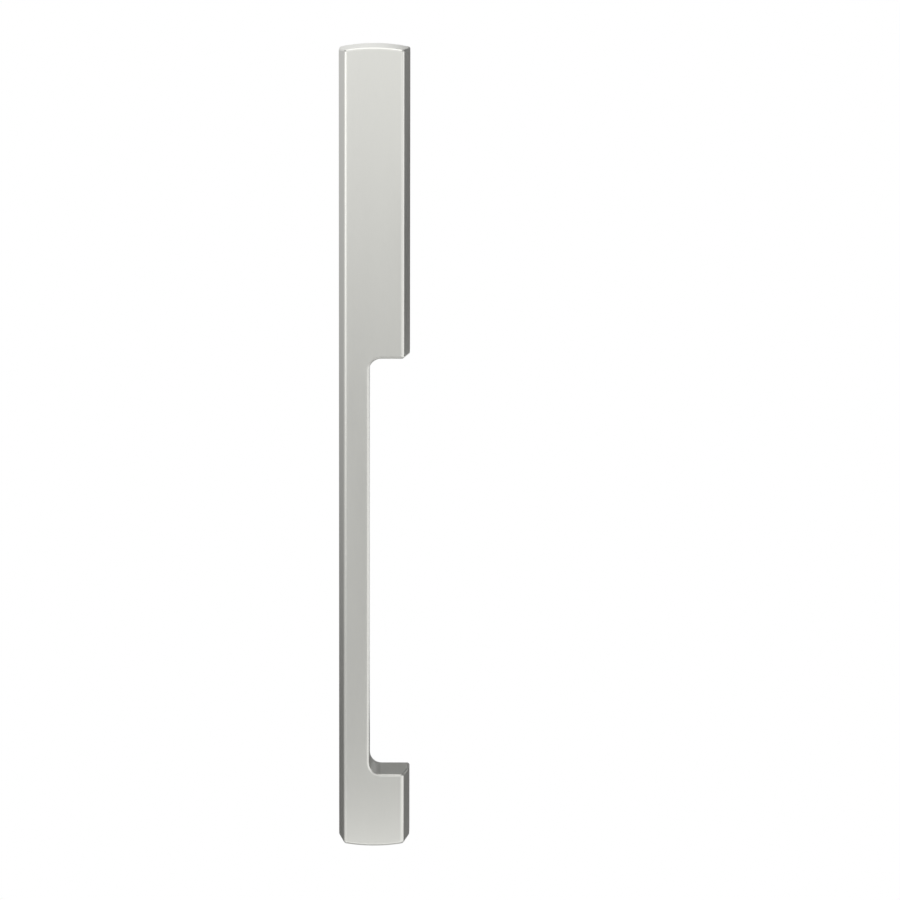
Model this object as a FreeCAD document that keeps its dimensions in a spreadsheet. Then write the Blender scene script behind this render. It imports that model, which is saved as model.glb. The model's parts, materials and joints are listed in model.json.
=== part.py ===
import FreeCAD, Part
from enum import IntEnum
import math
import os
import Sketcher

# Sliding patio door handle: a solid aluminium pull with a C-shaped finger cut-out, bolted through the
# door stile from behind. Millimetres. +Z runs up the handle, its front faces -Y and the cut-out opens
# to +X. The origin lies on the face of the door, midway between the two fixing bolts.

DIMENSIONS = {
    # Pull
    "handle_width": 30.0,
    "handle_depth": 26.0,
    "upper_block_length": 131.0,
    "finger_cut_length": 178.0,
    "lower_block_length": 31.0,
    "grip_width": 13.0,
    "cut_corner_radius": 5.0,
    "bevel_width": 2.4,
    "bevel_depth": 15.0,
    "end_rise": 1.6,
    "long_edge_radius": 1.6,
    "bevel_foot_radius": 8.0,
    "cut_edge_radius": 1.1,
    # Threaded inserts
    "insert_radius": 4.5,
    "insert_length": 14.0,
    "collar_radius": 6.5,
    "thread_radius": 2.5,
    "thread_lead_in": 0.4,
    "runout_radius": 3.2,
    "runout_length": 5.0,
    # Gasket between the pull and the door
    "gasket_thickness": 1.0,
    "gasket_margin": 0.8,
    "gasket_clearance": 0.3,
}

TOTAL_LENGTH = "(dims.upper_block_length + dims.finger_cut_length + dims.lower_block_length)"
# The arch of each end, from its chord and its rise.
END_RADIUS = "((dims.handle_width^2 / 4 + dims.end_rise^2) / (2 * dims.end_rise))"
# Each bolt stands half a lower block in from its end of the handle.
FIXING_HEIGHT = f"(({TOTAL_LENGTH} - dims.lower_block_length) / 2)"
# The tool that mills the finger cut-out passes the open side by half the handle's width.
CUT_FAR_SIDE = "dims.handle_width"


class PointOf(IntEnum):
    """Which point of a drawn line, arc or circle a constraint takes."""

    START = 1
    END = 2
    CENTRE = 3


START, END, CENTRE = PointOf
ORIGIN_POINT = (-1, START)
ACROSS_AXIS, UP_AXIS = -1, -2
NORMAL = FreeCAD.Vector(0, 0, 1)
TOUCH = 1e-6
CORNER_ANGLE = math.radians(45)


def make_sheet(doc):
    """Write the driving dimensions into a spreadsheet, one alias each."""
    sheet = doc.addObject("Spreadsheet::Sheet", "dims")
    for row, (alias, size) in enumerate(DIMENSIONS.items(), start=1):
        sheet.set(f"A{row}", alias)
        sheet.set(f"B{row}", str(size))
        sheet.setAlias(f"B{row}", alias)
    doc.recompute()


def make_body(doc, label, place):
    """Start a sub-part; place gives an expression for each coordinate that isn't zero."""
    body = doc.addObject("PartDesign::Body", label)
    body.Label = label
    for axis, expression in place.items():
        body.setExpression(f".Placement.Base.{axis}", expression)
    return body


def make_sketch(body, name, role):
    """Attach a sketch to one of the body's own origin planes."""
    sketch = body.newObject("Sketcher::SketchObject", name)
    plane = next(plane for plane in body.Origin.OriginFeatures if plane.Role == role)
    sketch.AttachmentSupport = (plane, "")
    sketch.MapMode = "FlatFace"
    return sketch


def size_of(sketch, expression):
    """The present value of an expression, from which a sketch is drawn at its true size."""
    return float(sketch.evalExpression(expression))


def relate(sketch, kind, *references):
    """Add a geometric constraint."""
    sketch.addConstraint(Sketcher.Constraint(kind, *references))


def dimension(sketch, kind, references, expression):
    """Add a dimensional constraint that follows an expression."""
    constraint = Sketcher.Constraint(kind, *references, size_of(sketch, expression))
    index = sketch.addConstraint(constraint)
    sketch.setExpression(f"Constraints[{index}]", expression)


def draw_line(sketch, start, end):
    """Add a line between two (across, up) points and return its index."""
    return sketch.addGeometry(Part.LineSegment(FreeCAD.Vector(*start, 0), FreeCAD.Vector(*end, 0)))


def draw_arc(sketch, centre, radius, first, last):
    """Add an arc that runs anticlockwise from one angle to another and return its index."""
    circle = Part.Circle(FreeCAD.Vector(*centre, 0), NORMAL, radius)
    return sketch.addGeometry(Part.ArcOfCircle(circle, first, last))


def draw_corners(sketch, corners, side):
    """Draw a closed outline through corners given as (distance from the up axis, depth below the origin).

    side is +1 for an outline to the right of the up axis and -1 for its mirror image.
    """
    points = [(side * size_of(sketch, out), -size_of(sketch, depth)) for out, depth in corners]
    lines = [draw_line(sketch, point, following) for point, following in zip(points, points[1:] + points[:1])]
    for line, following in zip(lines, lines[1:] + lines[:1]):
        relate(sketch, "Coincident", line, END, following, START)
    for line, (out, depth) in zip(lines, corners):
        corner = (line, START)
        reach = ORIGIN_POINT + corner if side > 0 else corner + ORIGIN_POINT
        dimension(sketch, "DistanceX", reach, out)
        if depth == "0":
            relate(sketch, "PointOnObject", *corner, ACROSS_AXIS)
        else:
            dimension(sketch, "DistanceY", corner + ORIGIN_POINT, depth)


def arched_outline(body, name, margin):
    """Front outline of the bar, drawn in by a margin: two straight sides between two arched ends."""
    sketch = make_sketch(body, name, "XZ_Plane")
    half_width = f"(dims.handle_width / 2 - {margin})"
    radius = f"({END_RADIUS} - {margin})"
    half_side = f"({TOTAL_LENGTH} / 2 - {END_RADIUS} + sqrt({radius}^2 - {half_width}^2))"
    across = size_of(sketch, half_width)
    up = size_of(sketch, half_side)
    arch = size_of(sketch, radius)
    spread = math.asin(across / arch)
    centre = up - arch * math.cos(spread)
    left = draw_line(sketch, (-across, -up), (-across, up))
    top = draw_arc(sketch, (0, centre), arch, math.pi / 2 - spread, math.pi / 2 + spread)
    right = draw_line(sketch, (across, up), (across, -up))
    bottom = draw_arc(sketch, (0, -centre), arch, 3 * math.pi / 2 - spread, 3 * math.pi / 2 + spread)
    relate(sketch, "Coincident", left, END, top, END)
    relate(sketch, "Coincident", top, START, right, START)
    relate(sketch, "Coincident", right, END, bottom, END)
    relate(sketch, "Coincident", bottom, START, left, START)
    relate(sketch, "Symmetric", left, START, left, END, ACROSS_AXIS)
    relate(sketch, "Symmetric", left, START, right, END, UP_AXIS)
    relate(sketch, "Symmetric", left, END, right, START, UP_AXIS)
    relate(sketch, "Equal", top, bottom)
    dimension(sketch, "DistanceX", (left, END, right, START), f"2 * {half_width}")
    dimension(sketch, "DistanceY", (left, START, left, END), f"2 * {half_side}")
    dimension(sketch, "Radius", (top,), radius)
    return sketch


def finger_outline(body, name, margin):
    """Outline of the finger cut-out, let out by a margin: open to the right, with round inner corners."""
    sketch = make_sketch(body, name, "XZ_Plane")
    reach = f"({CUT_FAR_SIDE} + dims.handle_width / 2 - dims.grip_width + {margin})"
    height = f"(dims.finger_cut_length + 2 * {margin})"
    drop = f"({TOTAL_LENGTH} / 2 - dims.lower_block_length + {margin})"
    radius = f"(dims.cut_corner_radius + {margin})"
    far = size_of(sketch, CUT_FAR_SIDE)
    inner = far - size_of(sketch, reach)
    low = -size_of(sketch, drop)
    high = low + size_of(sketch, height)
    corner = size_of(sketch, radius)
    wall = draw_line(sketch, (inner, low + corner), (inner, high - corner))
    upper_corner = draw_arc(sketch, (inner + corner, high - corner), corner, math.pi / 2, math.pi)
    ceiling = draw_line(sketch, (inner + corner, high), (far, high))
    mouth = draw_line(sketch, (far, high), (far, low))
    ledge = draw_line(sketch, (far, low), (inner + corner, low))
    lower_corner = draw_arc(sketch, (inner + corner, low + corner), corner, math.pi, 3 * math.pi / 2)
    relate(sketch, "Tangent", wall, END, upper_corner, END)
    relate(sketch, "Tangent", upper_corner, START, ceiling, START)
    relate(sketch, "Coincident", ceiling, END, mouth, START)
    relate(sketch, "Coincident", mouth, END, ledge, START)
    relate(sketch, "Tangent", ledge, END, lower_corner, END)
    relate(sketch, "Tangent", lower_corner, START, wall, START)
    relate(sketch, "Vertical", wall)
    relate(sketch, "Vertical", mouth)
    relate(sketch, "Horizontal", ceiling)
    relate(sketch, "Horizontal", ledge)
    relate(sketch, "Equal", upper_corner, lower_corner)
    dimension(sketch, "Radius", (upper_corner,), radius)
    dimension(sketch, "DistanceX", ORIGIN_POINT + (mouth, START), CUT_FAR_SIDE)
    dimension(sketch, "DistanceX", (wall, START, mouth, START), reach)
    dimension(sketch, "DistanceY", (ledge, START) + ORIGIN_POINT, drop)
    dimension(sketch, "DistanceY", (mouth, END, mouth, START), height)
    return sketch


def fixing_circles(body, name, radius):
    """One circle round each fixing bolt's axis."""
    sketch = make_sketch(body, name, "XZ_Plane")
    height = size_of(sketch, FIXING_HEIGHT)
    size = size_of(sketch, radius)
    upper, lower = (
        sketch.addGeometry(Part.Circle(FreeCAD.Vector(0, up, 0), NORMAL, size)) for up in (height, -height)
    )
    relate(sketch, "PointOnObject", upper, CENTRE, UP_AXIS)
    relate(sketch, "Symmetric", upper, CENTRE, lower, CENTRE, *ORIGIN_POINT)
    relate(sketch, "Equal", upper, lower)
    dimension(sketch, "Radius", (upper,), radius)
    dimension(sketch, "DistanceY", ORIGIN_POINT + (upper, CENTRE), FIXING_HEIGHT)
    return sketch


def pad_forward(body, sketch, name, thickness):
    """Raise a front outline towards the front, from the plane of the back."""
    pad = body.newObject("PartDesign::Pad", name)
    pad.Profile = sketch
    pad.setExpression("Length", thickness)
    body.Document.recompute()
    return pad


def cut(body, sketch, name, length=None, both_ways=False):
    """Cut a sketch into the body: towards the front by a length, or right through."""
    before = body.Shape.Volume
    pocket = body.newObject("PartDesign::Pocket", name)
    pocket.Profile = sketch
    pocket.Reversed = True
    if both_ways:
        pocket.SideType = "Symmetric"
    if length is None:
        pocket.Type = "ThroughAll"
    else:
        pocket.setExpression("Length", length)
    body.Document.recompute()
    if not body.Shape.Volume < before:
        raise RuntimeError(f"{name} cuts nothing")
    return pocket


def edges_at(shape, depth):
    """Number and shape of each edge that lies wholly at one depth in front of the back."""
    for number, edge in enumerate(shape.Edges, start=1):
        if all(abs(vertex.Y + depth) < TOUCH for vertex in edge.Vertexes):
            yield f"Edge{number}", edge


def runs_up(edge):
    """Whether an edge runs straight up the handle."""
    return abs(edge.Vertexes[0].X - edge.Vertexes[-1].X) < TOUCH


def turns(shape, edge):
    """Whether the surface turns a corner at the middle of an edge."""
    middle = edge.valueAt((edge.FirstParameter + edge.LastParameter) / 2)
    faces = shape.ancestorsOfType(edge, Part.Face)
    normals = [face.normalAt(*face.Surface.parameter(middle)) for face in faces]
    return normals[0].getAngle(normals[-1]) > CORNER_ANGLE


def round_edges(body, base, name, edges, radius):
    """Round the named edges of a feature."""
    fillet = body.newObject("PartDesign::Fillet", name)
    fillet.Base = (base, edges)
    fillet.setExpression("Radius", radius)
    body.Document.recompute()
    return fillet


def bevel_sides(body):
    """Bevel the two long sides of the bar towards the front, and round what the bevels leave sharp."""
    sketch = make_sketch(body, "bevel_section", "XY_Plane")
    side = "dims.handle_width / 2"
    foot = "dims.handle_depth - dims.bevel_depth"
    corners = (
        (side, "dims.handle_depth"),
        (f"{side} - dims.bevel_width", "dims.handle_depth"),
        (side, foot),
    )
    draw_corners(sketch, corners, 1)
    draw_corners(sketch, corners, -1)
    feature = cut(body, sketch, "side_bevels", both_ways=True)
    for name, depth, radius in (
        ("bevel_feet", foot, "dims.bevel_foot_radius"),
        ("long_edges", "dims.handle_depth", "dims.long_edge_radius"),
    ):
        along = edges_at(feature.Shape, size_of(body, depth))
        feature = round_edges(body, feature, name, [number for number, edge in along if runs_up(edge)], radius)


def make_handle_body(doc):
    """The pull: an arch-ended bar, bevelled along its sides, with the finger cut-out and fixing bores."""
    body = make_body(doc, "handle_body", {"y": "-dims.gasket_thickness"})
    pad_forward(body, arched_outline(body, "bar_outline", "0"), "bar", "dims.handle_depth")
    bevel_sides(body)
    cut(body, fixing_circles(body, "insert_circles", "dims.insert_radius"), "insert_bores", "dims.insert_length")
    cut(
        body,
        fixing_circles(body, "runout_circles", "dims.runout_radius"),
        "runout_bores",
        "dims.insert_length + dims.runout_length",
    )
    finger_cut = cut(body, finger_outline(body, "finger_outline", "0"), "finger_cut")
    front = edges_at(finger_cut.Shape, size_of(body, "dims.handle_depth"))
    sharp = [number for number, edge in front if turns(finger_cut.Shape, edge)]
    round_edges(body, finger_cut, "cut_edges", sharp, "dims.cut_edge_radius")
    return body


def make_insert(doc, label, height):
    """A threaded insert: a shank pressed into its bore and a collar that stands on the back of the pull."""
    body = make_body(doc, label, {"z": height})
    sketch = make_sketch(body, f"{label}_section", "XY_Plane")
    shank_end = "dims.gasket_thickness + dims.insert_length"
    corners = (
        ("dims.thread_radius + dims.thread_lead_in", "0"),
        ("dims.collar_radius", "0"),
        ("dims.collar_radius", "dims.gasket_thickness"),
        ("dims.insert_radius", "dims.gasket_thickness"),
        ("dims.insert_radius", shank_end),
        ("dims.thread_radius", shank_end),
        ("dims.thread_radius", "dims.thread_lead_in"),
    )
    draw_corners(sketch, corners, 1)
    turned = body.newObject("PartDesign::Revolution", f"{label}_turned")
    turned.Profile = sketch
    turned.ReferenceAxis = (sketch, ["V_Axis"])
    doc.recompute()
    return body


def make_back_gasket(doc):
    """The gasket: the outline of the pull's back drawn in by a margin, with a hole round each collar."""
    body = make_body(doc, "back_gasket", {})
    margin = "dims.gasket_margin"
    pad_forward(body, arched_outline(body, "gasket_outline", margin), "sheet", "dims.gasket_thickness")
    cut(body, finger_outline(body, "gasket_finger_outline", margin), "gasket_finger_cut")
    hole_radius = "dims.collar_radius + dims.gasket_clearance"
    cut(body, fixing_circles(body, "gasket_circles", hole_radius), "collar_holes")
    return body


def check(doc, bodies):
    """Stop if any object failed to rebuild or any sub-part isn't one sound solid."""
    failed = [item.Name for item in doc.Objects if {"Invalid", "Error"} & set(item.State)]
    if failed:
        raise RuntimeError(f"not rebuilt: {failed}")
    for body in bodies:
        shape = body.Shape
        if shape.isNull() or not shape.isValid() or len(shape.Solids) != 1:
            raise RuntimeError(f"{body.Label} is not one sound solid")


def main():
    """Build the document and write one STEP file for each sub-part."""
    doc = FreeCAD.newDocument("patio_door_handle")
    make_sheet(doc)
    bodies = [make_handle_body(doc), make_back_gasket(doc)]
    for label, height in (("upper_insert", FIXING_HEIGHT), ("lower_insert", f"-{FIXING_HEIGHT}")):
        bodies.append(make_insert(doc, label, height))
    doc.recompute()
    check(doc, bodies)
    os.makedirs("parts", exist_ok=True)
    for body in bodies:
        body.Shape.exportStep(f"parts/{body.Label}.step")


main()
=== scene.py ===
"""A sliding patio door handle, dressed and lit for a studio picture.

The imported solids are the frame. The pull and its two threaded inserts are drawn again as fine, smooth
surfaces of the same form, the gasket keeps its solid, and each piece gets a finish made of shader nodes.
Metres: +Z runs up the handle, its front faces -Y and the finger cut-out opens to +X.
"""

import json
import logging
import math
from dataclasses import dataclass, field
from enum import Enum

import bpy
import numpy as np
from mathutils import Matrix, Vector
from numpy.typing import NDArray


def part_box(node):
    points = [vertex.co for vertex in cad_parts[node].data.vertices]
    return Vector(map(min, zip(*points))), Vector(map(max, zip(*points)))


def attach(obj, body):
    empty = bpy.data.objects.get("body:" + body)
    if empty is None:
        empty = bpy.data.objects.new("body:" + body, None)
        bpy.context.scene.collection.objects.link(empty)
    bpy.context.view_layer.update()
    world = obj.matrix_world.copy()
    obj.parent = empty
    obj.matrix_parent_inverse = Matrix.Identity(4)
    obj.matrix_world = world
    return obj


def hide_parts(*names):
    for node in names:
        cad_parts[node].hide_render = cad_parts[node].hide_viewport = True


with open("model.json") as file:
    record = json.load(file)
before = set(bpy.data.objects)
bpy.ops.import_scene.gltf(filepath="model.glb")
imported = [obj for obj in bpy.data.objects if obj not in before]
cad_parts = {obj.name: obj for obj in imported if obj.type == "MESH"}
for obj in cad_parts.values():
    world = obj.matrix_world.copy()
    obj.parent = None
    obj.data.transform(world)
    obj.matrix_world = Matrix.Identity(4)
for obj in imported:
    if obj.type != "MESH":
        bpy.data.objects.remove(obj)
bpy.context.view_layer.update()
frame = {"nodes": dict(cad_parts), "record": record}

Array = NDArray[np.float64]
Colour = tuple[float, float, float]
Place = tuple[float, float, float]
Span = tuple[float, float]
Socket = bpy.types.NodeSocket
Source = Socket | float | tuple[float, ...]

LOG = logging.getLogger("patio_door_handle")
WELD_DISTANCE = 1e-7
MILLIMETRE = 0.001
BACKWARD = np.array([0.0, 1.0, 0.0])


class Slot(Enum):
    """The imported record's material slots that the new pieces take."""

    ALUMINIUM = "satin_aluminium"
    STEEL = "insert_steel"


class End(Enum):
    """The two ends of the pull, as the sign of their height."""

    TOP = 1.0
    BOTTOM = -1.0


class Reading(Enum):
    """The attributes that a mesh carries for its finish."""

    EDGE = "edge"
    TURNING = "turning"


# Surfaces


def unit(vectors: Array) -> Array:
    """Scale each vector to a length of one."""
    return vectors / np.linalg.norm(vectors, axis=-1, keepdims=True)


def spread(vector: Place, shape: tuple[int, ...]) -> Array:
    """Repeat one vector over a grid of the given shape."""
    return np.broadcast_to(np.array(vector, float), (*shape, 3))


def stack(x: Array | float, y: Array | float, z: Array | float) -> Array:
    """Join coordinates, each an array or a number, into points."""
    return np.stack(np.broadcast_arrays(x, y, z), axis=-1).astype(float)


def between(start: Array | float, end: Array | float, steps: int) -> Array:
    """Divide straight lines evenly.

    Args:
        start: Where each line starts, a number or an array.
        end: Where each line ends, of the same shape.
        steps: How many steps each line is divided into.

    Returns:
        start + (end - start) * t for t from 0 to 1, along a new last axis.
    """
    share = np.linspace(0.0, 1.0, steps + 1)
    start = np.asarray(start, float)
    return start[..., None] + (np.asarray(end, float) - start)[..., None] * share


def joined(runs: list[Array]) -> Array:
    """Chain runs of points, each of which starts where the last one ends, into one run."""
    return np.concatenate([runs[0], *[run[1:] for run in runs[1:]]])


@dataclass
class SurfaceMesh:
    """Grids of points, each with its own exact normals, that are welded into one closed mesh."""

    name: str
    points: list[Array] = field(default_factory=list)
    normals: list[Array] = field(default_factory=list)
    values: list[Array] = field(default_factory=list)
    faces: list[NDArray[np.int64]] = field(default_factory=list)
    count: int = 0

    def add(self, points: Array, normals: Array, values: Array | float = 0.0) -> None:
        """Add a grid.

        Args:
            points: A point for each pair of the two parameters, of shape (rows, columns, 3).
            normals: The outward normal at each point, of a shape that spreads to the same.
            values: What the finish reads at each point, such as how near an edge is.
        """
        rows, columns = points.shape[:2]
        corner = np.arange(rows * columns).reshape(rows, columns)
        quads = np.stack([corner[:-1, :-1], corner[1:, :-1], corner[1:, 1:], corner[:-1, 1:]], axis=-1)
        self.points.append(points.reshape(-1, 3))
        self.normals.append(np.broadcast_to(normals, points.shape).reshape(-1, 3))
        self.values.append(np.broadcast_to(values, (rows, columns)).ravel())
        self.faces.append(quads.reshape(-1, 4) + self.count)
        self.count += rows * columns

    def build(self, reading: Reading) -> bpy.types.Object:
        """Weld the grids and make the mesh.

        A face is turned where its winding disagrees with its normals. Points that coincide become one
        vertex, and a face that loses a side by that becomes a triangle.

        Args:
            reading: The attribute under which the finish reads the grids' values.

        Returns:
            The new object, at the origin, linked to the scene.
        """
        points = np.concatenate(self.points)
        normals = np.concatenate(self.normals)
        quads = np.concatenate(self.faces)
        corners = points[quads]
        facing = np.cross(corners[:, 2] - corners[:, 0], corners[:, 3] - corners[:, 1])
        turned = (facing * normals[quads].sum(axis=1)).sum(axis=1) < 0
        quads[turned] = quads[turned][:, ::-1]
        keys = np.round(points / WELD_DISTANCE).astype(np.int64)
        first, welded = np.unique(keys, axis=0, return_index=True, return_inverse=True)[1:]
        around = welded.reshape(-1)[quads]
        kept = around != np.roll(around, -1, axis=1)
        whole = kept.sum(axis=1) >= 3
        around, quads, kept = around[whole], quads[whole], kept[whole]
        starts = np.concatenate([[0], np.cumsum(kept.sum(axis=1))[:-1]])

        mesh = bpy.data.meshes.new(self.name)
        mesh.vertices.add(len(first))
        mesh.vertices.foreach_set("co", points[first].ravel())
        mesh.loops.add(int(kept.sum()))
        mesh.loops.foreach_set("vertex_index", around[kept].astype(np.int32))
        mesh.polygons.add(len(starts))
        mesh.polygons.foreach_set("loop_start", starts.astype(np.int32))
        mesh.polygons.foreach_set("use_smooth", np.ones(len(starts), bool))
        mesh.update(calc_edges=True)
        mesh.normals_split_custom_set(normals[quads[kept]])
        layer = mesh.attributes.new(reading.value, "FLOAT", "POINT")
        layer.data.foreach_set("value", np.concatenate(self.values)[first].astype(np.float32))
        made = bpy.data.objects.new(self.name, mesh)
        bpy.context.scene.collection.objects.link(made)
        return made


# Pull


@dataclass
class Section:
    """Columns round the pull's section, from the back on the left over the front to the back on the right.

    Each column has its distance across, its depth in front of the back, its outward normal in the same two
    directions, and how near the crest of a long edge it is.
    """

    across: Array
    depth: Array
    normal_across: Array
    normal_depth: Array
    edge: Array

    def part(self, columns: slice) -> "Section":
        """Some of the columns."""
        return Section(
            self.across[columns],
            self.depth[columns],
            self.normal_across[columns],
            self.normal_depth[columns],
            self.edge[columns],
        )

    def normals(self) -> Array:
        """The columns' normals in the frame's own directions."""
        return stack(self.normal_across, -self.normal_depth, 0.0)


@dataclass
class Pull:
    """The pull: an arch-ended bar with bevelled sides, a C-shaped finger cut-out and two blind bores."""

    half_width: float
    back: float
    front: float
    top: float
    fixing_height: float
    finger_cut: float = 178.0 * MILLIMETRE
    lower_block: float = 31.0 * MILLIMETRE
    grip_width: float = 13.0 * MILLIMETRE
    cut_corner: float = 5.0 * MILLIMETRE
    bevel_width: float = 2.4 * MILLIMETRE
    bevel_depth: float = 15.0 * MILLIMETRE
    end_rise: float = 1.6 * MILLIMETRE
    long_edge: float = 1.6 * MILLIMETRE
    bevel_foot: float = 8.0 * MILLIMETRE
    cut_edge: float = 1.1 * MILLIMETRE
    bore: float = 4.5 * MILLIMETRE
    bore_length: float = 14.0 * MILLIMETRE
    runout: float = 3.2 * MILLIMETRE
    runout_length: float = 5.0 * MILLIMETRE
    side_steps: int = 8
    foot_steps: int = 5
    bevel_steps: int = 10
    edge_steps: int = 12
    flat_steps: int = 10
    corner_steps: int = 14
    upper_steps: int = 60
    middle_steps: int = 70
    lower_steps: int = 24
    lower_strip: int = 2
    ring_steps: int = 4

    def __post_init__(self) -> None:
        """Work out the cut-out's lines, the ends' arch, the section and the rounding ball's path."""
        self.ledge = -self.top + self.lower_block
        self.ceiling = self.ledge + self.finger_cut
        self.grip_side = -self.half_width + self.grip_width
        self.corner_across = self.grip_side + self.cut_corner
        self.corner_turn = np.linspace(math.pi, math.pi / 2, self.corner_steps + 1)
        self.grip_foot = self.ledge + self.cut_corner
        self.grip_top = self.ceiling - self.cut_corner
        self.middle = between(self.grip_foot, self.grip_top, self.middle_steps)
        self.arch = (self.half_width**2 + self.end_rise**2) / (2 * self.end_rise)
        self.arch_centre = self.top - self.arch

        half = self.half_section()
        self.section = self.whole_section(half)
        self.ball_across = self.section.across - self.cut_edge * self.section.normal_across
        self.ball_depth = self.section.depth - self.cut_edge * self.section.normal_depth
        self.ball_arch = self.arch - self.cut_edge
        self.ball_height = self.arch_centre + np.sqrt(self.ball_arch**2 - self.ball_across**2)
        self.flat_start = len(half.across) - 1
        self.flat_end = len(self.section.across) - len(half.across)
        self.grip_column = self.flat_start + self.flat_steps
        self.corner_column = self.grip_column + self.corner_steps

    def half_section(self) -> Section:
        """One side of the section, from its back to the end of the flat front.

        A straight side, an arc where the bevel starts, the straight bevel and the arc of the long edge.

        Returns:
            The columns of the right side.
        """
        tilt = math.atan2(self.bevel_width, self.bevel_depth)
        depth = self.back - self.front
        foot = depth - self.bevel_depth
        foot_depth = foot - self.bevel_foot * math.tan(tilt / 2)
        edge_depth = depth - self.long_edge
        reach = self.long_edge + math.sin(tilt) * (edge_depth - foot)
        edge_across = self.half_width - reach / math.cos(tilt)

        foot_turn = np.linspace(0.0, tilt, self.foot_steps + 1)
        edge_turn = np.linspace(tilt, math.pi / 2, self.edge_steps + 1)
        foot_across = self.half_width - self.bevel_foot + self.bevel_foot * np.cos(foot_turn)
        foot_down = foot_depth + self.bevel_foot * np.sin(foot_turn)
        round_across = edge_across + self.long_edge * np.cos(edge_turn)
        round_down = edge_depth + self.long_edge * np.sin(edge_turn)
        side_down = between(0.0, foot_depth, self.side_steps)[:-1]
        bevel_across = between(foot_across[-1], round_across[0], self.bevel_steps)[1:-1]
        bevel_down = between(foot_down[-1], round_down[0], self.bevel_steps)[1:-1]
        side_turn = np.zeros_like(side_down)
        bevel_turn = np.full_like(bevel_down, tilt)
        turn = np.concatenate([side_turn, foot_turn, bevel_turn, edge_turn])
        crest = np.sin(math.pi * (edge_turn - tilt) / (math.pi / 2 - tilt))
        side_across = np.full_like(side_down, self.half_width)
        return Section(
            across=np.concatenate([side_across, foot_across, bevel_across, round_across]),
            depth=np.concatenate([side_down, foot_down, bevel_down, round_down]),
            normal_across=np.cos(turn),
            normal_depth=np.sin(turn),
            edge=np.concatenate([np.zeros(len(turn) - len(crest)), crest]),
        )

    def whole_section(self, half: Section) -> Section:
        """The half section and its mirror image, joined by the columns of the flat front.

        The flat's columns meet the start and the end of the cut-out's round corner.

        Args:
            half: The columns of the right side.

        Returns:
            The columns from the back of the left side to the back of the right side.
        """
        flat = half.across[-1]
        corner = self.corner_across + (self.cut_corner + self.cut_edge) * np.cos(self.corner_turn)
        left_flat = between(-flat, corner[0], self.flat_steps)
        right_flat = between(corner[-1], flat, self.flat_steps)
        columns = joined([left_flat, corner, right_flat])[1:-1]
        none = np.zeros_like(columns)
        return Section(
            across=np.concatenate([-half.across, columns, half.across[::-1]]),
            depth=np.concatenate([half.depth, none + self.back - self.front, half.depth[::-1]]),
            normal_across=np.concatenate([-half.normal_across, none, half.normal_across[::-1]]),
            normal_depth=np.concatenate([half.normal_depth, none + 1.0, half.normal_depth[::-1]]),
            edge=np.concatenate([half.edge, none, half.edge[::-1]]),
        )

    def rolled(self, centres: Array, from_normals: Array, to_normals: Array) -> tuple[Array, Array]:
        """The rounding that a ball leaves as it rolls along an edge.

        At each centre the normal turns evenly from one wall's to the other's, and the surface lies one
        radius out from the centre along it.

        Args:
            centres: The ball's centres along the edge, of shape (n, 3).
            from_normals: The unit normal of the wall where the rounding starts, at each centre.
            to_normals: The unit normal of the wall where it ends.

        Returns:
            Points and normals, each of shape (n, steps + 1, 3).
        """
        share = np.linspace(0.0, 1.0, self.edge_steps + 1)[None, :, None]
        turn = np.arccos((from_normals * to_normals).sum(axis=1))[:, None, None]
        starting = np.sin((1 - share) * turn) * from_normals[:, None]
        ending = np.sin(share * turn) * to_normals[:, None]
        normals = (starting + ending) / np.sin(turn)
        return centres[:, None] + self.cut_edge * normals, normals

    def crest(self, along: Array) -> Array:
        """How near a rounding's crest is: a half wave across it, or the long edge's value where larger."""
        share = np.linspace(0.0, 1.0, self.edge_steps + 1)[None]
        return np.maximum(np.sin(math.pi * share), along[:, None] * (1 - share))

    def add_skin(self, mesh: SurfaceMesh) -> dict[End, Array]:
        """Add the front and the sides: the section's columns carried along the pull.

        In each block the columns run from the cut-out's rounded rim to the end's, and along the grip
        between the blocks only the grip's columns run.

        Args:
            mesh: The mesh that takes the grids.

        Returns:
            The heights of each block's columns, of shape (columns, rows), from the cut-out to the end.
        """
        corner_rise = (self.cut_corner + self.cut_edge) * np.sin(self.corner_turn)
        rise = np.zeros_like(self.section.across)
        rise[self.grip_column : self.corner_column + 1] = corner_rise
        rise[self.corner_column :] = corner_rise[-1]
        heights = {
            End.TOP: between(self.grip_top + rise, self.ball_height, self.upper_steps),
            End.BOTTOM: between(self.grip_foot - rise, -self.ball_height, self.lower_steps),
        }
        grip = self.section.part(slice(0, self.grip_column + 1))
        grip_heights = np.broadcast_to(self.middle, (len(grip.across), len(self.middle)))
        blocks = [(self.section, rows) for rows in heights.values()]
        for columns, rows in [*blocks, (grip, grip_heights)]:
            points = stack(columns.across[:, None], self.back - columns.depth[:, None], rows)
            mesh.add(points, columns.normals()[:, None], columns.edge[:, None])
        return heights

    def add_end(self, mesh: SurfaceMesh, end: End) -> Array:
        """Add an arched end: its rounded rim, and the part of a cylinder inside it.

        The wall's rows lie at the depths of the rim's sides, and its columns divide each row as the flat
        front is divided.

        Args:
            mesh: The mesh that takes the grids.
            end: Which end.

        Returns:
            The end's outline at the back, as points from the left side to the right.
        """
        sign = end.value
        centres = stack(self.ball_across, self.back - self.ball_depth, sign * self.ball_height)
        rise = sign * (self.ball_height - self.arch_centre)
        outward = stack(self.ball_across, 0.0, rise) / self.ball_arch
        rim, normals = self.rolled(centres, self.section.normals(), outward)
        mesh.add(rim, normals, self.crest(self.section.edge))

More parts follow.
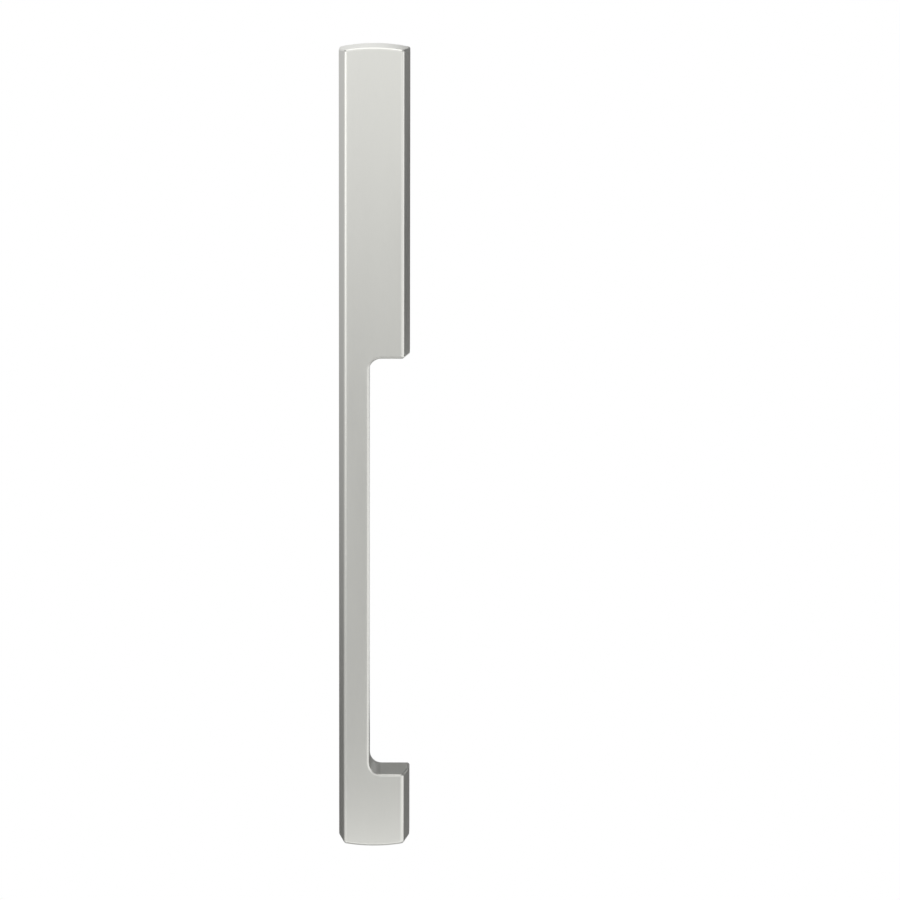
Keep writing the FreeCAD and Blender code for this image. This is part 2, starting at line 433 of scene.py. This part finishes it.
        flat = self.section.across[self.flat_start : self.flat_end + 1]
        reach = -rim[: self.flat_start + 1, -1, 0]
        across = reach[:, None] * (flat / flat[-1])
        height = sign * (self.arch_centre + np.sqrt(self.arch**2 - across**2))
        row_places = self.back - self.ball_depth[: self.flat_start + 1, None]
        wall = stack(across, row_places, height)
        mesh.add(wall, stack(across, 0.0, height - sign * self.arch_centre) / self.arch)
        return joined([rim[0], wall[0], rim[-1][::-1]])

    def add_cut_out(self, mesh: SurfaceMesh) -> dict[End, Array]:
        """Add the finger cut-out: its rounded rim, and the wall inside it.

        The rim runs from the back of the ceiling over the bevel, along the front, round the grip and back
        over the ledge. The wall's rows lie at the depths of the rim's sides.

        Args:
            mesh: The mesh that takes the grids.

        Returns:
            The cut-out's outline at the back of each block, as points from the right side to the grip.
        """
        side = slice(self.flat_end, None)
        side_across = self.ball_across[side][::-1]
        side_place = self.back - self.ball_depth[side][::-1]
        side_normals = self.section.normals()[side][::-1]
        side_edge = self.section.edge[side][::-1]
        flat_across = self.section.across[self.corner_column : self.flat_end + 1][::-1]
        front = self.front + self.cut_edge
        down_grip = self.middle[::-1]
        out = stack(np.cos(self.corner_turn), 0.0, np.sin(self.corner_turn))[::-1]
        flipped = np.array([1.0, 1.0, -1.0])
        upper = np.array([self.corner_across, 0.0, self.grip_top])
        lower = np.array([self.corner_across, 0.0, self.grip_foot])
        forward = np.array([0.0, front, 0.0])
        radius = self.cut_corner + self.cut_edge

        ceiling_rim = [
            stack(side_across, side_place, self.ceiling + self.cut_edge),
            stack(flat_across, front, self.ceiling + self.cut_edge),
        ]
        ledge_rim = [
            stack(flat_across, front, self.ledge - self.cut_edge)[::-1],
            stack(side_across, side_place, self.ledge - self.cut_edge)[::-1],
        ]
        grip_rim = [
            upper + forward + radius * out,
            stack(self.grip_side - self.cut_edge, front, down_grip),
            (lower + forward + radius * out * flipped)[::-1],
        ]
        centres = joined([*ceiling_rim, *grip_rim, *ledge_rim])
        level = (len(side_across) + len(flat_across) - 1,)
        facings = [
            spread((0.0, 0.0, -1.0), level),
            -out,
            spread((1.0, 0.0, 0.0), (len(down_grip),)),
            (-out * flipped)[::-1],
            spread((0.0, 0.0, 1.0), level),
        ]
        along_front = (len(centres) - 2 * len(side_across),)
        starts = np.concatenate([side_normals, spread((0.0, -1.0, 0.0), along_front), side_normals[::-1]])
        edge = np.concatenate([side_edge, np.zeros(along_front), side_edge[::-1]])
        rim, normals = self.rolled(centres, starts, joined(facings))
        mesh.add(rim, normals, self.crest(edge))

        shares = (flat_across - self.corner_across) / (flat_across[0] - self.corner_across)
        across = self.corner_across + (side_across[:, None] - self.corner_across) * shares
        row = side_place[:, None]
        upper_corner = upper + self.cut_corner * out
        lower_corner = (lower + self.cut_corner * out * flipped)[::-1]
        walls = [
            stack(across, row, self.ceiling),
            stack(upper_corner[:, 0], row, upper_corner[:, 2]),
            stack(self.grip_side, row, down_grip),
            stack(lower_corner[:, 0], row, lower_corner[:, 2]),
            stack(across[:, ::-1], row, self.ledge),
        ]
        for wall, facing in zip(walls, [facings[0][:1], *facings[1:4], facings[4][:1]]):
            mesh.add(wall, facing)
        return {
            End.TOP: joined([rim[0], walls[0][0], walls[1][0]]),
            End.BOTTOM: joined([rim[-1], walls[4][0][::-1], walls[3][0][::-1]]),
        }

    def add_ring(self, mesh: SurfaceMesh, rim: Array, height: float) -> None:
        """Add a ring of the back, from a closed outline to a bore, and line the bore.

        The ring is a straight mix of the outline and of the circle at the same angle. The lining is a
        stepped profile turned about the bolt's axis.

        Args:
            mesh: The mesh that takes the grids.
            rim: The closed outline, as points.
            height: The height of the bolt's axis.
        """
        angle = np.arctan2(rim[:, 2] - height, rim[:, 0])
        out = stack(np.cos(angle), 0.0, np.sin(angle))
        centre = np.array([0.0, self.back, height])
        share = np.linspace(0.0, 1.0, self.ring_steps + 1)[:, None, None]
        mesh.add((1 - share) * (centre + self.bore * out) + share * rim, BACKWARD)
        end = self.bore_length + self.runout_length
        profile = [
            (self.bore, 0.0),
            (self.bore, self.bore_length),
            (self.runout, self.bore_length),
            (self.runout, end),
            (0.0, end),
        ]
        for (radius, depth), (next_radius, next_depth) in zip(profile, profile[1:]):
            start = centre + radius * out - depth * BACKWARD
            finish = centre + next_radius * out - next_depth * BACKWARD
            mesh.add(np.stack([start, finish]), -out[None] if radius == next_radius else BACKWARD)

    def add_back(self, mesh: SurfaceMesh, end: End, rows: Array, crossing: Array, end_rim: Array) -> None:
        """Add the back of a block.

        A strip of upright columns runs from the cut-out to a straight line, and a ring from that line and
        the block's other sides to the bore.

        Args:
            mesh: The mesh that takes the grids.
            end: The end that the block is at.
            rows: The heights of the block's columns, from the cut-out to the end.
            crossing: The outline towards the cut-out, as points from the right side to the left.
            end_rim: The outline at the end, as points from the left side to the right.
        """
        left, right = -self.half_width, self.half_width
        start = self.lower_strip
        if end is End.TOP:
            start = int(np.searchsorted(rows[0], self.fixing_height - self.half_width))
        line_height = np.interp(crossing[:, 0], [left, right], [rows[0, start], rows[-1, start]])
        line = stack(crossing[:, 0], self.back, line_height)
        share = np.linspace(0.0, 1.0, start + 1)[:, None, None]
        mesh.add((1 - share) * crossing + share * line, BACKWARD)
        left_side = stack(left, self.back, rows[0, start:])
        right_side = stack(right, self.back, rows[-1, start:][::-1])
        outline = joined([left_side, end_rim, right_side, line])
        self.add_ring(mesh, outline, end.value * self.fixing_height)

    def build(self) -> bpy.types.Object:
        """Draw the pull as grids that share their rims, and weld them.

        The back is a strip behind the grip, and a strip and a ring behind each block.

        Returns:
            The pull's object, with the attribute that says how near an edge is.
        """
        mesh = SurfaceMesh("pull")
        heights = self.add_skin(mesh)
        end_rims = {end: self.add_end(mesh, end) for end in End}
        cut_rims = self.add_cut_out(mesh)
        grip_across = between(-self.half_width, self.grip_side, self.flat_steps)
        mesh.add(stack(grip_across, self.back, self.middle[:, None]), BACKWARD)
        for end, rows in heights.items():
            behind_grip = stack(grip_across[::-1], self.back, rows[0, 0])
            self.add_back(mesh, end, rows, joined([cut_rims[end], behind_grip]), end_rims[end])
        return mesh.build(Reading.EDGE)


# Threaded inserts


@dataclass
class ThreadedInsert:
    """A steel insert: a flanged sleeve in the pull's back with a cut thread for the fixing bolt."""

    name: str
    face: float
    height: float
    collar: float
    length: float
    collar_thickness: float = 1.0 * MILLIMETRE
    collar_chamfer: float = 0.15 * MILLIMETRE
    shank: float = 4.5 * MILLIMETRE
    core: float = 2.5 * MILLIMETRE
    lead_in: float = 0.4 * MILLIMETRE
    pitch: float = 1.0 * MILLIMETRE
    thread_depth: float = 0.54 * MILLIMETRE
    crest_share: float = 0.25
    root_share: float = 0.125
    turn_steps: int = 96
    pitch_steps: int = 12
    ring_steps: int = 6

    def turned(self, radii: Array, depths: Array | float, turn: Array) -> Array:
        """Points at given radii and depths, turned about the bolt's axis."""
        return stack(radii * np.cos(turn), self.face - depths, self.height + radii * np.sin(turn))

    def thread(self) -> tuple[Array, Array]:
        """The radius of the threaded bore.

        One groove winds round the bore: a triangle wave of the depth less the turn, cut off at the crest
        and at the root, fades in over the first pitch and never lies inside the cone of the lead-in.

        Returns:
            The radius and the depth at each pair of a depth and an angle, of shape (depths, angles).
        """
        turn = np.linspace(0.0, math.tau, self.turn_steps + 1)[None]
        steps = round(self.length / self.pitch) * self.pitch_steps
        depth = np.linspace(0.0, self.length, steps + 1)[:, None] + 0.0 * turn
        wave = np.abs(2.0 * ((depth / self.pitch - turn / math.tau) % 1.0) - 1.0)
        groove = np.clip((wave - self.crest_share) / (1.0 - self.crest_share - self.root_share), 0.0, 1.0)
        faded = self.thread_depth * groove * np.clip(depth / self.pitch, 0.0, 1.0)
        return self.core + np.maximum(faded, self.lead_in - depth), depth

    def build(self) -> bpy.types.Object:
        """Draw the insert as straight runs of its section, turned about the bolt's axis, and the thread.

        Returns:
            The insert's object, with the attribute that holds each point's distance from the axis.
        """
        mesh = SurfaceMesh(self.name)
        turn = np.linspace(0.0, math.tau, self.turn_steps + 1)[None]
        thread, depth = self.thread()
        bore = self.turned(thread, depth, turn)
        along_turn = np.roll(bore[:, :-1], -1, axis=1) - np.roll(bore[:, :-1], 1, axis=1)
        along_turn = np.concatenate([along_turn, along_turn[:, :1]], axis=1)
        inward = np.cross(along_turn, np.gradient(bore, axis=0))
        outward = stack(np.cos(turn), 0.0, np.sin(turn))
        inward *= -np.sign((inward * outward).sum(axis=-1, keepdims=True))
        mesh.add(bore, unit(inward), thread)

        rim = self.collar - self.collar_chamfer
        runs = [
            (rim, 0.0, self.collar, self.collar_chamfer),
            (self.collar, self.collar_chamfer, self.collar, self.collar_thickness),
            (self.collar, self.collar_thickness, self.shank, self.collar_thickness),
            (self.shank, self.collar_thickness, self.shank, self.length),
        ]
        for radius, start, next_radius, end in runs:
            radii = between(radius, next_radius, self.ring_steps)[:, None]
            depths = between(start, end, self.ring_steps)[:, None]
            normals = unit((end - start) * outward + (next_radius - radius) * BACKWARD)
            mesh.add(self.turned(radii, depths, turn), normals, radii)
        caps = [(thread[:1], rim, 0.0, BACKWARD), (thread[-1:], self.shank, self.length, -BACKWARD)]
        share = np.linspace(0.0, 1.0, self.ring_steps + 1)[:, None]
        for first, last, level, facing in caps:
            radii = (1 - share) * first + share * last
            mesh.add(self.turned(radii, level, turn), facing, radii)
        return mesh.build(Reading.TURNING)


# Finishes


# The noises' detail, and how much of the grain is the fine one.
FINE_DETAIL = 3.0
BROAD_DETAIL = 2.0
FINE_SHARE = 0.6
# The noise values from which and to which the grain and the polish vary.
GRAIN_SPAN = (0.3, 0.7)
POLISH_SPAN = (0.35, 0.6)
# The polish where it is faintest, and how much brighter and smoother it makes a surface.
FAINTEST_POLISH = 0.5
POLISH_GAIN = 0.12
POLISH_SMOOTHING = 0.35


def place_node(
    tree: bpy.types.NodeTree,
    kind: str,
    inputs: dict[str | int, Source] | None = None,
    **settings: object,
) -> bpy.types.Node:
    """Add a node to a tree.

    Args:
        tree: The tree that takes the node.
        kind: The node's type.
        inputs: For each input, another node's output to link or a value to set.
        settings: The node's own properties.

    Returns:
        The new node.
    """
    made = tree.nodes.new(kind)
    for key, value in settings.items():
        setattr(made, key, value)
    for key, value in (inputs or {}).items():
        if isinstance(value, Socket):
            tree.links.new(value, made.inputs[key])
        else:
            made.inputs[key].default_value = value
    return made


def math_node(tree: bpy.types.NodeTree, operation: str, *values: Source) -> Socket:
    """Add a Math node and return its output."""
    return place_node(tree, "ShaderNodeMath", dict(enumerate(values)), operation=operation).outputs[0]


def ranged(
    tree: bpy.types.NodeTree,
    value: Socket,
    low: Source,
    high: Source,
    start: float,
    end: float,
) -> Socket:
    """Map a value from one range, start to end, to another, low to high, and hold it at the ends."""
    inputs = {"Value": value, "From Min": start, "From Max": end, "To Min": low, "To Max": high}
    return place_node(tree, "ShaderNodeMapRange", inputs).outputs["Result"]


def noise(tree: bpy.types.NodeTree, place: Socket, detail: float) -> Socket:
    """Add noise that is read at the given place, and return its output."""
    inputs = {"Vector": place, "Scale": 1.0, "Detail": detail}
    return place_node(tree, "ShaderNodeTexNoise", inputs).outputs["Fac"]


def scaled_colour(tree: bpy.types.NodeTree, colour: Socket, factor: Socket) -> Socket:
    """Multiply a colour by a factor and return the output."""
    inputs = {0: colour, "Scale": factor}
    return place_node(tree, "ShaderNodeVectorMath", inputs, operation="SCALE").outputs["Vector"]


class Kind(Enum):
    """The kinds of socket on a node group."""

    VALUE = "NodeSocketFloat"
    COLOUR = "NodeSocketColor"
    VECTOR = "NodeSocketVector"


def start_group(
    name: str,
    inputs: dict[str, Kind],
    outputs: dict[str, Kind],
) -> tuple[bpy.types.NodeTree, bpy.types.Node, bpy.types.Node]:
    """Start a shader node group.

    Args:
        name: The group's name.
        inputs: The group's inputs and their kinds.
        outputs: The group's outputs and their kinds.

    Returns:
        The group, its input node and its output node.
    """
    group = bpy.data.node_groups.new(name, "ShaderNodeTree")
    for way, sockets in (("INPUT", inputs), ("OUTPUT", outputs)):
        for label, kind in sockets.items():
            group.interface.new_socket(label, in_out=way, socket_type=kind.value)
    return group, place_node(group, "NodeGroupInput"), place_node(group, "NodeGroupOutput")


def make_grain_group() -> bpy.types.NodeTree:
    """The grain that every finish shares: fine noise over broad, faint clouds.

    Returns:
        A group that takes a pattern's coordinates, a tone and a roughness with their spreads, and gives the
        varied colour and roughness and the height of the grain.
    """
    group, entry, leave = start_group(
        "grain",
        {
            "Fine": Kind.VECTOR,
            "Broad": Kind.VECTOR,
            "Tone": Kind.COLOUR,
            "Tone Spread": Kind.VALUE,
            "Roughness": Kind.VALUE,
            "Roughness Spread": Kind.VALUE,
        },
        {"Color": Kind.COLOUR, "Roughness": Kind.VALUE, "Height": Kind.VALUE},
    )
    given = entry.outputs
    fine = noise(group, given["Fine"], FINE_DETAIL)
    broad = noise(group, given["Broad"], BROAD_DETAIL)
    fine_part = math_node(group, "MULTIPLY", fine, FINE_SHARE)
    broad_part = math_node(group, "MULTIPLY", broad, 1.0 - FINE_SHARE)
    mixed = math_node(group, "ADD", fine_part, broad_part)
    less = math_node(group, "SUBTRACT", 1.0, given["Tone Spread"])
    more = math_node(group, "ADD", 1.0, given["Tone Spread"])
    colour = scaled_colour(group, given["Tone"], ranged(group, mixed, less, more, *GRAIN_SPAN))
    smoother = math_node(group, "SUBTRACT", given["Roughness"], given["Roughness Spread"])
    rougher = math_node(group, "ADD", given["Roughness"], given["Roughness Spread"])
    rough = ranged(group, mixed, smoother, rougher, *GRAIN_SPAN)
    group.links.new(colour, leave.inputs["Color"])
    group.links.new(rough, leave.inputs["Roughness"])
    group.links.new(fine, leave.inputs["Height"])
    return group


def make_edge_group() -> bpy.types.NodeTree:
    """The polish that hands leave on edges: brighter and smoother towards a crest, broken up by noise.

    Returns:
        A group that takes the edge value, a colour, a roughness and an amount, and gives both varied.
    """
    group, entry, leave = start_group(
        "edge_polish",
        {
            "Edge": Kind.VALUE,
            "Coordinates": Kind.VECTOR,
            "Color": Kind.COLOUR,
            "Roughness": Kind.VALUE,
            "Amount": Kind.VALUE,
        },
        {"Color": Kind.COLOUR, "Roughness": Kind.VALUE},
    )
    given = entry.outputs
    cloud = noise(group, given["Coordinates"], FINE_DETAIL)
    patchy = ranged(group, cloud, FAINTEST_POLISH, 1.0, *POLISH_SPAN)
    patchy_edge = math_node(group, "MULTIPLY", given["Edge"], patchy)
    worn = math_node(group, "MULTIPLY", patchy_edge, given["Amount"])
    gain = math_node(group, "MULTIPLY", worn, POLISH_GAIN)
    colour = scaled_colour(group, given["Color"], math_node(group, "ADD", 1.0, gain))
    smoothing = math_node(group, "MULTIPLY", worn, POLISH_SMOOTHING)
    remaining = math_node(group, "SUBTRACT", 1.0, smoothing)
    rough = math_node(group, "MULTIPLY", given["Roughness"], remaining)
    group.links.new(colour, leave.inputs["Color"])
    group.links.new(rough, leave.inputs["Roughness"])
    return group


@dataclass(frozen=True)
class Finish:
    """A surface finish: its tone, its roughness, and how both vary with the grain."""

    name: str
    tone: Colour
    tone_spread: float
    roughness: float
    roughness_spread: float
    fine_scale: Place
    broad_scale: Place
    grain_height: float
    metallic: float
    polish: float = 0.0
    reading: Reading | None = None

    def coordinates(self, tree: bpy.types.NodeTree) -> Socket:
        """Where the pattern is read: the object's place or, on turned metal, the distance from the axis.

        Args:
            tree: The material's tree.

        Returns:
            A vector output.
        """
        place = place_node(tree, "ShaderNodeTexCoord").outputs["Object"]
        if self.reading is not Reading.TURNING:
            return place
        apart = place_node(tree, "ShaderNodeSeparateXYZ", {"Vector": place}).outputs
        inputs = {"X": self.attribute(tree), "Y": apart["Y"], "Z": apart["Z"]}
        return place_node(tree, "ShaderNodeCombineXYZ", inputs).outputs["Vector"]

    def attribute(self, tree: bpy.types.NodeTree) -> Socket:
        """The value that the mesh carries for this finish."""
        name = self.reading.value
        return place_node(tree, "ShaderNodeAttribute", attribute_name=name).outputs["Fac"]

    def material(self, grain: bpy.types.NodeTree, edge: bpy.types.NodeTree) -> bpy.types.Material:
        """Make the material.

        Args:
            grain: The grain group.
            edge: The edge polish group.

        Returns:
            A material with the grain in its colour, roughness and bump, and with the edges polished
            where the finish says so.
        """
        made = bpy.data.materials.new(self.name)
        made.use_nodes = True
        tree = made.node_tree
        shader = tree.nodes["Principled BSDF"]
        shader.inputs["Metallic"].default_value = self.metallic
        place = self.coordinates(tree)
        fine, broad = (
            place_node(tree, "ShaderNodeMapping", {"Vector": place, "Scale": scale}).outputs["Vector"]
            for scale in (self.fine_scale, self.broad_scale)
        )
        inputs = {
            "Fine": fine,
            "Broad": broad,
            "Tone": (*self.tone, 1.0),
            "Tone Spread": self.tone_spread,
            "Roughness": self.roughness,
            "Roughness Spread": self.roughness_spread,
        }
        varied = place_node(tree, "ShaderNodeGroup", inputs, node_tree=grain).outputs
        colour, rough = varied["Color"], varied["Roughness"]
        if self.polish:
            inputs = {
                "Edge": self.attribute(tree),
                "Coordinates": broad,
                "Color": colour,
                "Roughness": rough,
                "Amount": self.polish,
            }
            worn = place_node(tree, "ShaderNodeGroup", inputs, node_tree=edge).outputs
            colour, rough = worn["Color"], worn["Roughness"]
        relief = {"Height": varied["Height"], "Distance": self.grain_height}
        bump = place_node(tree, "ShaderNodeBump", relief)
        tree.links.new(colour, shader.inputs["Base Color"])
        tree.links.new(rough, shader.inputs["Roughness"])
        tree.links.new(bump.outputs["Normal"], shader.inputs["Normal"])
        return made


ALUMINIUM_FINISH = Finish(
    name="satin_aluminium",
    tone=(0.75, 0.75, 0.71),
    tone_spread=0.012,
    roughness=0.36,
    roughness_spread=0.03,
    fine_scale=(5200.0, 5200.0, 260.0),
    broad_scale=(90.0, 90.0, 14.0),
    grain_height=0.000004,
    metallic=1.0,
    polish=0.25,
    reading=Reading.EDGE,
)
STEEL_FINISH = Finish(
    name="turned_steel",
    tone=(0.6, 0.6, 0.58),
    tone_spread=0.06,
    roughness=0.3,
    roughness_spread=0.06,
    fine_scale=(9000.0, 30.0, 30.0),
    broad_scale=(400.0, 400.0, 400.0),
    grain_height=0.00001,
    metallic=1.0,
    reading=Reading.TURNING,
)
RUBBER_FINISH = Finish(
    name="gasket_rubber",
    tone=(0.03, 0.03, 0.031),
    tone_spread=0.2,
    roughness=0.78,
    roughness_spread=0.08,
    fine_scale=(3500.0, 3500.0, 3500.0),
    broad_scale=(160.0, 160.0, 160.0),
    grain_height=0.00003,
    metallic=0.0,
)


# Studio


def flat_card(name: str, corners: Array) -> bpy.types.Object:
    """Make a card of one face.

    Args:
        name: The card's name.
        corners: Its four corners in order.

    Returns:
        The card, linked to the scene.
    """
    mesh = bpy.data.meshes.new(name)
    mesh.from_pydata(corners.tolist(), [], [(0, 1, 2, 3)])
    made = bpy.data.objects.new(name, mesh)
    bpy.context.scene.collection.objects.link(made)
    return made


@dataclass(frozen=True)
class Softbox:
    """A rectangular area light, out of the camera's sight.

    Its tone is how bright its face looks, where 1 is white.
    """

    name: str
    place: Place
    aim: Place
    width: float
    height: float
    tone: float

    @classmethod
    def upright(
        cls,
        name: str,
        sides: Span,
        heights: Span,
        tone: float,
        away: float = 1.0,
    ) -> "Softbox":
        """Make a panel that stands on a circle round the handle and faces it.

        Args:
            name: The panel's name.
            sides: The bearings of its two sides in degrees, from the front, positive towards +X.
            heights: Where it starts and ends.
            tone: How bright its face looks.
            away: How far its middle stands from the handle's axis.

        Returns:
            The panel.
        """
        bearing = math.radians(sum(sides) / 2)
        width = 2 * away * math.tan(math.radians((sides[1] - sides[0]) / 2))
        middle = sum(heights) / 2
        place = (away * math.sin(bearing), -away * math.cos(bearing), middle)
        return cls(name, place, (0.0, 0.0, middle), width, heights[1] - heights[0], tone)

    def build(self) -> bpy.types.Object:
        """Add the light, turned towards its aim.

        An even panel sends out pi times its tone for each square metre.

        Returns:
            The light's object.
        """
        data = bpy.data.lights.new(self.name, "AREA")
        data.shape = "RECTANGLE"
        data.size = self.width
        data.size_y = self.height
        data.energy = math.pi * self.tone * self.width * self.height
        made = bpy.data.objects.new(self.name, data)
        made.location = self.place
        made.rotation_euler = (Vector(self.aim) - Vector(self.place)).to_track_quat("-Z", "Y").to_euler()
        made.visible_camera = False
        bpy.context.scene.collection.objects.link(made)
        return made


@dataclass(frozen=True)
class Card:
    """An upright glowing card behind the handle, out of the camera's sight, for bevels and ledge to mirror.

    Its painted glow goes evenly from the lower to the upper tone between the heights of its fade.
    """

    name: str
    sides: Span
    heights: Span
    tones: Span
    fade: Span = (0.0, 0.1)
    behind: float = 0.4

    def build(self) -> bpy.types.Object:
        """Add the card, which glows with its tone whatever light falls on it: painted light, not a lit grey
        surface.

        Returns:
            The card's object.
        """
        left, right = self.sides
        bottom, top = self.heights
        across = np.array([left, right, right, left])
        up = np.array([bottom, bottom, top, top])
        made = flat_card(self.name, stack(across, self.behind, up))
        made.visible_camera = False
        grey = bpy.data.materials.new(self.name)
        grey.use_nodes = True
        tree = grey.node_tree
        tree.nodes.remove(tree.nodes["Principled BSDF"])
        place = place_node(tree, "ShaderNodeTexCoord").outputs["Object"]
        height = place_node(tree, "ShaderNodeSeparateXYZ", {"Vector": place}).outputs["Z"]
        tone = ranged(tree, height, *self.tones, *self.fade)
        # The card's colour is emission, painted light that the metal mirrors.
        glow = place_node(tree, "ShaderNodeEmission", {"Strength": tone})
        tree.links.new(glow.outputs["Emission"], tree.nodes["Material Output"].inputs["Surface"])
        made.data.materials.append(grey)
        return made


@dataclass(frozen=True)
class Floor:
    """A pale floor well below the handle, which fades out into the white of the room."""

    height: float = -1.0
    reach: float = 3.0
    fade_start: float = 1.2
    tone: float = 0.8
    roughness: float = 0.9

    def build(self) -> bpy.types.Object:
        """Add the floor, matte near the middle and clear at its rim.

        Returns:
            The floor's object.
        """
        corners = self.reach * np.array([(-1.0, -1.0), (1.0, -1.0), (1.0, 1.0), (-1.0, 1.0)])
        made = flat_card("floor", stack(corners[:, 0], corners[:, 1], self.height))
        pale = bpy.data.materials.new("floor")
        pale.use_nodes = True
        tree = pale.node_tree
        shader = tree.nodes["Principled BSDF"]
        shader.inputs["Base Color"].default_value = (self.tone, self.tone, self.tone, 1.0)
        shader.inputs["Roughness"].default_value = self.roughness
        place = place_node(tree, "ShaderNodeTexCoord").outputs["Object"]
        apart = place_node(tree, "ShaderNodeSeparateXYZ", {"Vector": place}).outputs
        flat = {"X": apart["X"], "Y": apart["Y"]}
        level = place_node(tree, "ShaderNodeCombineXYZ", flat).outputs["Vector"]
        away = place_node(tree, "ShaderNodeVectorMath", {0: level}, operation="LENGTH").outputs["Value"]
        cover = ranged(tree, away, 1.0, 0.0, self.fade_start, self.reach)
        tree.links.new(cover, shader.inputs["Alpha"])
        made.data.materials.append(pale)
        return made


@dataclass(frozen=True)
class Room:
    """The room round the handle: white behind it and light grey in front, where the camera stands."""

    front: float = 0.5
    behind: float = 1.0
    turn_start: float = 0.6
    turn_end: float = 0.85

    def build(self) -> None:
        """Make the world, whose tone depends only on how far forward a direction points."""
        world = bpy.data.worlds.new("room")
        world.use_nodes = True
        tree = world.node_tree
        direction = place_node(tree, "ShaderNodeTexCoord").outputs["Generated"]
        forward = place_node(tree, "ShaderNodeSeparateXYZ", {"Vector": direction}).outputs["Y"]
        tone = ranged(tree, forward, self.front, self.behind, self.turn_start, self.turn_end)
        tree.links.new(tone, tree.nodes["Background"].inputs["Color"])
        bpy.context.scene.world = world


@dataclass(frozen=True)
class Eye:
    """The camera: where it stands, how far it looks down and leans over, and its lens on a 36 mm sensor."""

    place: Place
    pitch: float
    roll: float
    lens: float
    sensor: float = 36.0

    def build(self) -> None:
        """Add the camera and make it the scene's own."""
        data = bpy.data.cameras.new("eye")
        data.sensor_width = self.sensor
        data.lens = self.lens
        made = bpy.data.objects.new("eye", data)
        made.location = self.place
        made.rotation_euler = (math.radians(90.0 - self.pitch), math.radians(self.roll), 0.0)
        bpy.context.scene.collection.objects.link(made)
        bpy.context.scene.camera = made


EYE = Eye(place=(0.0313, -2.327, 0.336), pitch=8.3, roll=-0.134, lens=220.7)

# The cards' sides, and how far behind the handle the near ones stand.
LEFT_SIDES = (-0.45, -0.03)
MIDDLE_SIDES = (-0.03, 0.03)
RIGHT_SIDES = (0.03, 0.45)
CLOSE_BEHIND = 0.06
CARDS = (
    Card("left_card", LEFT_SIDES, (-0.8, 0.5), tones=(0.065, 0.955), fade=(-0.22, 0.33)),
    Card("low_card", MIDDLE_SIDES, (-0.8, -0.13), tones=(1.0, 1.0)),
    Card("ledge_card", MIDDLE_SIDES, (-0.13, -0.03), tones=(0.02, 0.02)),
    Card("grip_card", MIDDLE_SIDES, (-0.03, 0.1), tones=(0.3, 0.3)),
    Card("upper_right_card", RIGHT_SIDES, (-0.05, 0.5), tones=(0.03, 0.165), fade=(0.0, 0.2)),
    Card("gap_card", (0.03, 0.2), (-0.19, -0.05), tones=(0.9, 0.9)),
    Card("wall_card", (0.0, 0.03), (-0.05, 0.025), tones=(0.9, 0.9), behind=CLOSE_BEHIND),
    Card("corner_card", (0.004, 0.12), (-0.165, -0.13), tones=(0.1, 0.1), behind=CLOSE_BEHIND),
    Card("lower_right_card", RIGHT_SIDES, (-0.8, -0.19), tones=(0.1, 0.1)),
)

# The side panels' heights, and what the two upper lights aim at.
LEFT_HEIGHTS = (-0.09, 0.45)
RIGHT_HEIGHTS = (-0.55, 0.45)
UPPER_RIM = (0.0, -0.02, 0.17)
SOFTBOXES = (
    Softbox.upright("far_panel", (-24.0, 24.0), (0.1, 1.1), tone=0.2, away=0.9),
    Softbox.upright("near_panel", (-26.5, 26.5), (0.05, 0.55), tone=0.33, away=0.5),
    Softbox.upright("low_panel", (-40.0, 40.0), (-0.34, -0.21), tone=0.8, away=0.18),
    Softbox.upright("low_left_panel", (-75.0, -40.0), (-0.34, -0.19), tone=0.5, away=0.18),
    Softbox.upright("left_front_panel", (-40.0, -15.0), LEFT_HEIGHTS, tone=0.96),
    Softbox.upright("left_key", (-65.0, -40.0), LEFT_HEIGHTS, tone=1.36),
    Softbox.upright("left_side_panel", (-115.0, -65.0), LEFT_HEIGHTS, tone=0.29),
    Softbox.upright("right_front_panel", (15.0, 65.0), RIGHT_HEIGHTS, tone=0.42),
    Softbox.upright("right_side_panel", (65.0, 115.0), RIGHT_HEIGHTS, tone=0.62),
    Softbox("rim_light", (0.0, -0.07, 0.3), aim=UPPER_RIM, width=0.14, height=0.1, tone=1.02),
    Softbox("back_light", (0.0, 0.1, 0.5), aim=UPPER_RIM, width=0.3, height=0.3, tone=0.9),
)


def main() -> None:
    """Build the handle, dress it and light it."""
    logging.basicConfig(level=logging.INFO, format="%(name)s: %(message)s")
    bpy.context.scene.view_settings.view_transform = "Standard"
    mount = next(m for m in frame["record"]["mounts"] if m["name"] == "fixing_bolts")
    fixing_height = mount["dims"]["spacing_y_mm"] * MILLIMETRE / 2
    low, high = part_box("handle_body")
    pull = Pull(half_width=high[0], back=high[1], front=low[1], top=high[2], fixing_height=fixing_height)
    grain, edge = make_grain_group(), make_edge_group()
    finishes = (ALUMINIUM_FINISH, STEEL_FINISH, RUBBER_FINISH)
    aluminium, steel, rubber = (finish.material(grain, edge) for finish in finishes)

    made = pull.build()
    made.data.materials.append(aluminium)
    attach(made, "root")
    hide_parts("handle_body")
    LOG.info("%s: %d vertices", made.name, len(made.data.vertices))

    for end, node in ((End.TOP, "upper_insert"), (End.BOTTOM, "lower_insert")):
        low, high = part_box(node)
        insert = ThreadedInsert(
            name=f"threaded_{node}",
            face=high[1],
            height=end.value * fixing_height,
            collar=high[0],
            length=high[1] - low[1],
        )
        made = insert.build()
        made.data.materials.append(steel)
        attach(made, "root")
        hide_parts(node)
        LOG.info("%s: %d vertices", made.name, len(made.data.vertices))

    gasket = frame["nodes"]["back_gasket"]
    gasket.material_slots[0].material = rubber
    LOG.info("%s keeps its solid", gasket.name)

    EYE.build()
    Room().build()
    Floor().build()
    for card in CARDS:
        card.build()
    for light in SOFTBOXES:
        light.build()


if __name__ == "__main__":
    main()
